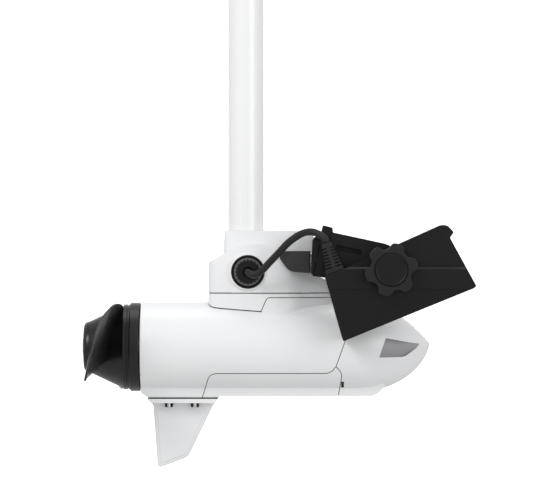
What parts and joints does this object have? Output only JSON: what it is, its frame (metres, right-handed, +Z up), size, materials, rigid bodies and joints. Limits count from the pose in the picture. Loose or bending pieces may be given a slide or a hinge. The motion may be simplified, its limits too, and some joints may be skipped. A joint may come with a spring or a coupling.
{
  "type": "trolling motor lower unit",
  "caption": "Electric trolling motor lower unit: finned barrel with a two-bladed propeller, shaft, and a tilting sonar transducer on a side bracket held by a star knob.",
  "frame": {"origin": "centre of the shaft's square-cut top face", "axes": "+Z up along the shaft, +X forward to the nose cone, -Y to starboard, the transducer's side"},
  "size_m": [0.3705, 0.2758, 0.4697],
  "materials": {
    "white_plastic": "satin white moulding",
    "shaft_composite": "smooth glossy white composite",
    "black_plastic": "fine matt black moulding",
    "hub_plastic": "satin black moulding",
    "knob_plastic": "matt dark grey moulding",
    "grey_plastic": "matt grey moulding",
    "window_plastic": "smooth dark acoustic plastic",
    "rubber": "matt black rubber",
    "steel": "stainless steel",
    "aluminium": "machined casting",
    "lamination": "stacked steel or dense block",
    "copper": "enamelled copper",
    "brass": "turned brass",
    "board": "green board"
  },
  "bodies": {
    "lower_unit": {"motor_housing": "white_plastic", "bottom_cover": "white_plastic", "nose_cone": "white_plastic", "neck_housing": "white_plastic", "neck_base": "white_plastic", "skeg": "white_plastic", "shaft_tube": "shaft_composite", "harness_connector": "black_plastic", "gland_bezel": "black_plastic", "mount_bracket": "black_plastic", "mount_cheek": "grey_plastic", "power_harness": "rubber", "transducer_cable": "rubber", "neck_gasket": "rubber", "cable_seal": "rubber", "housing_o_ring": "rubber", "shaft_seal": "rubber", "friction_washer": "rubber", "neck_bolt_1": "steel", "neck_bolt_2": "steel", "neck_bolt_3": "steel", "shaft_set_screw_1": "steel", "shaft_set_screw_2": "steel", "bracket_bolt_1": "steel", "bracket_bolt_2": "steel", "pivot_bolt": "steel", "skeg_bolt_1": "steel", "skeg_bolt_2": "steel", "skeg_bolt_3": "steel", "skeg_bolt_4": "steel", "rear_bearing": "steel", "front_bearing": "steel", "through_bolt_1": "steel", "through_bolt_2": "steel", "rear_end_bell": "aluminium", "front_end_bell": "aluminium", "heat_spreader": "aluminium", "stator_core": "lamination", "stator_windings": "copper", "controller_board": "board"},
    "propeller_set": {"propeller": "hub_plastic", "prop_shaft": "steel", "drive_pin": "steel", "rotor_core": "lamination", "rotor_magnets": "lamination", "prop_washer": "steel", "prop_nut": "steel"},
    "transducer": {"transducer_housing": "black_plastic", "array_window": "window_plastic", "array_module": "lamination", "strain_relief": "rubber"},
    "knob_screw": {"knob_washer": "steel"},
    "knob": {"clamp_knob": "knob_plastic", "knob_insert": "brass", "knob_cap": "black_plastic"},
    "gland_slide": {"gland_slip_ring": "steel"},
    "gland_nut_body": {"gland_nut": "knob_plastic"}
  },
  "joints": [
    {"name": "prop_spin", "type": "hinge", "parent": "lower_unit", "child": "propeller_set", "pos_m": [-0.12, 0, -0.355], "axis": [1, 0, 0], "continuous": true},
    {"name": "transducer_tilt", "type": "hinge", "parent": "lower_unit", "child": "transducer", "pos_m": [0.1349, -0.07, -0.2806], "axis": [0, 1, 0], "range_deg": [-40, 20], "deforming": ["transducer_cable"]},
    {"name": "knob_lift", "type": "slide", "parent": "lower_unit", "child": "knob_screw", "axis": [0, -1, 0], "range_m": [0, 0.00375]},
    {"name": "knob_turn", "type": "hinge", "parent": "knob_screw", "child": "knob", "pos_m": [0.1349, -0.1, -0.2806], "axis": [0, -1, 0], "range_deg": [0, 1080]},
    {"name": "gland_lift", "type": "slide", "parent": "lower_unit", "child": "gland_slide", "axis": [0, -1, 0], "range_m": [0, 0.003]},
    {"name": "gland_turn", "type": "hinge", "parent": "gland_slide", "child": "gland_nut_body", "pos_m": [0.0021, -0.0284, -0.2832], "axis": [0, -1, 0], "range_deg": [0, 720]}
  ],
  "couplings": [
    {"joint": "knob_turn", "follows": "knob_lift", "rad_per_m": 5026.5},
    {"joint": "gland_turn", "follows": "gland_lift", "rad_per_m": 4188.8}
  ]
}
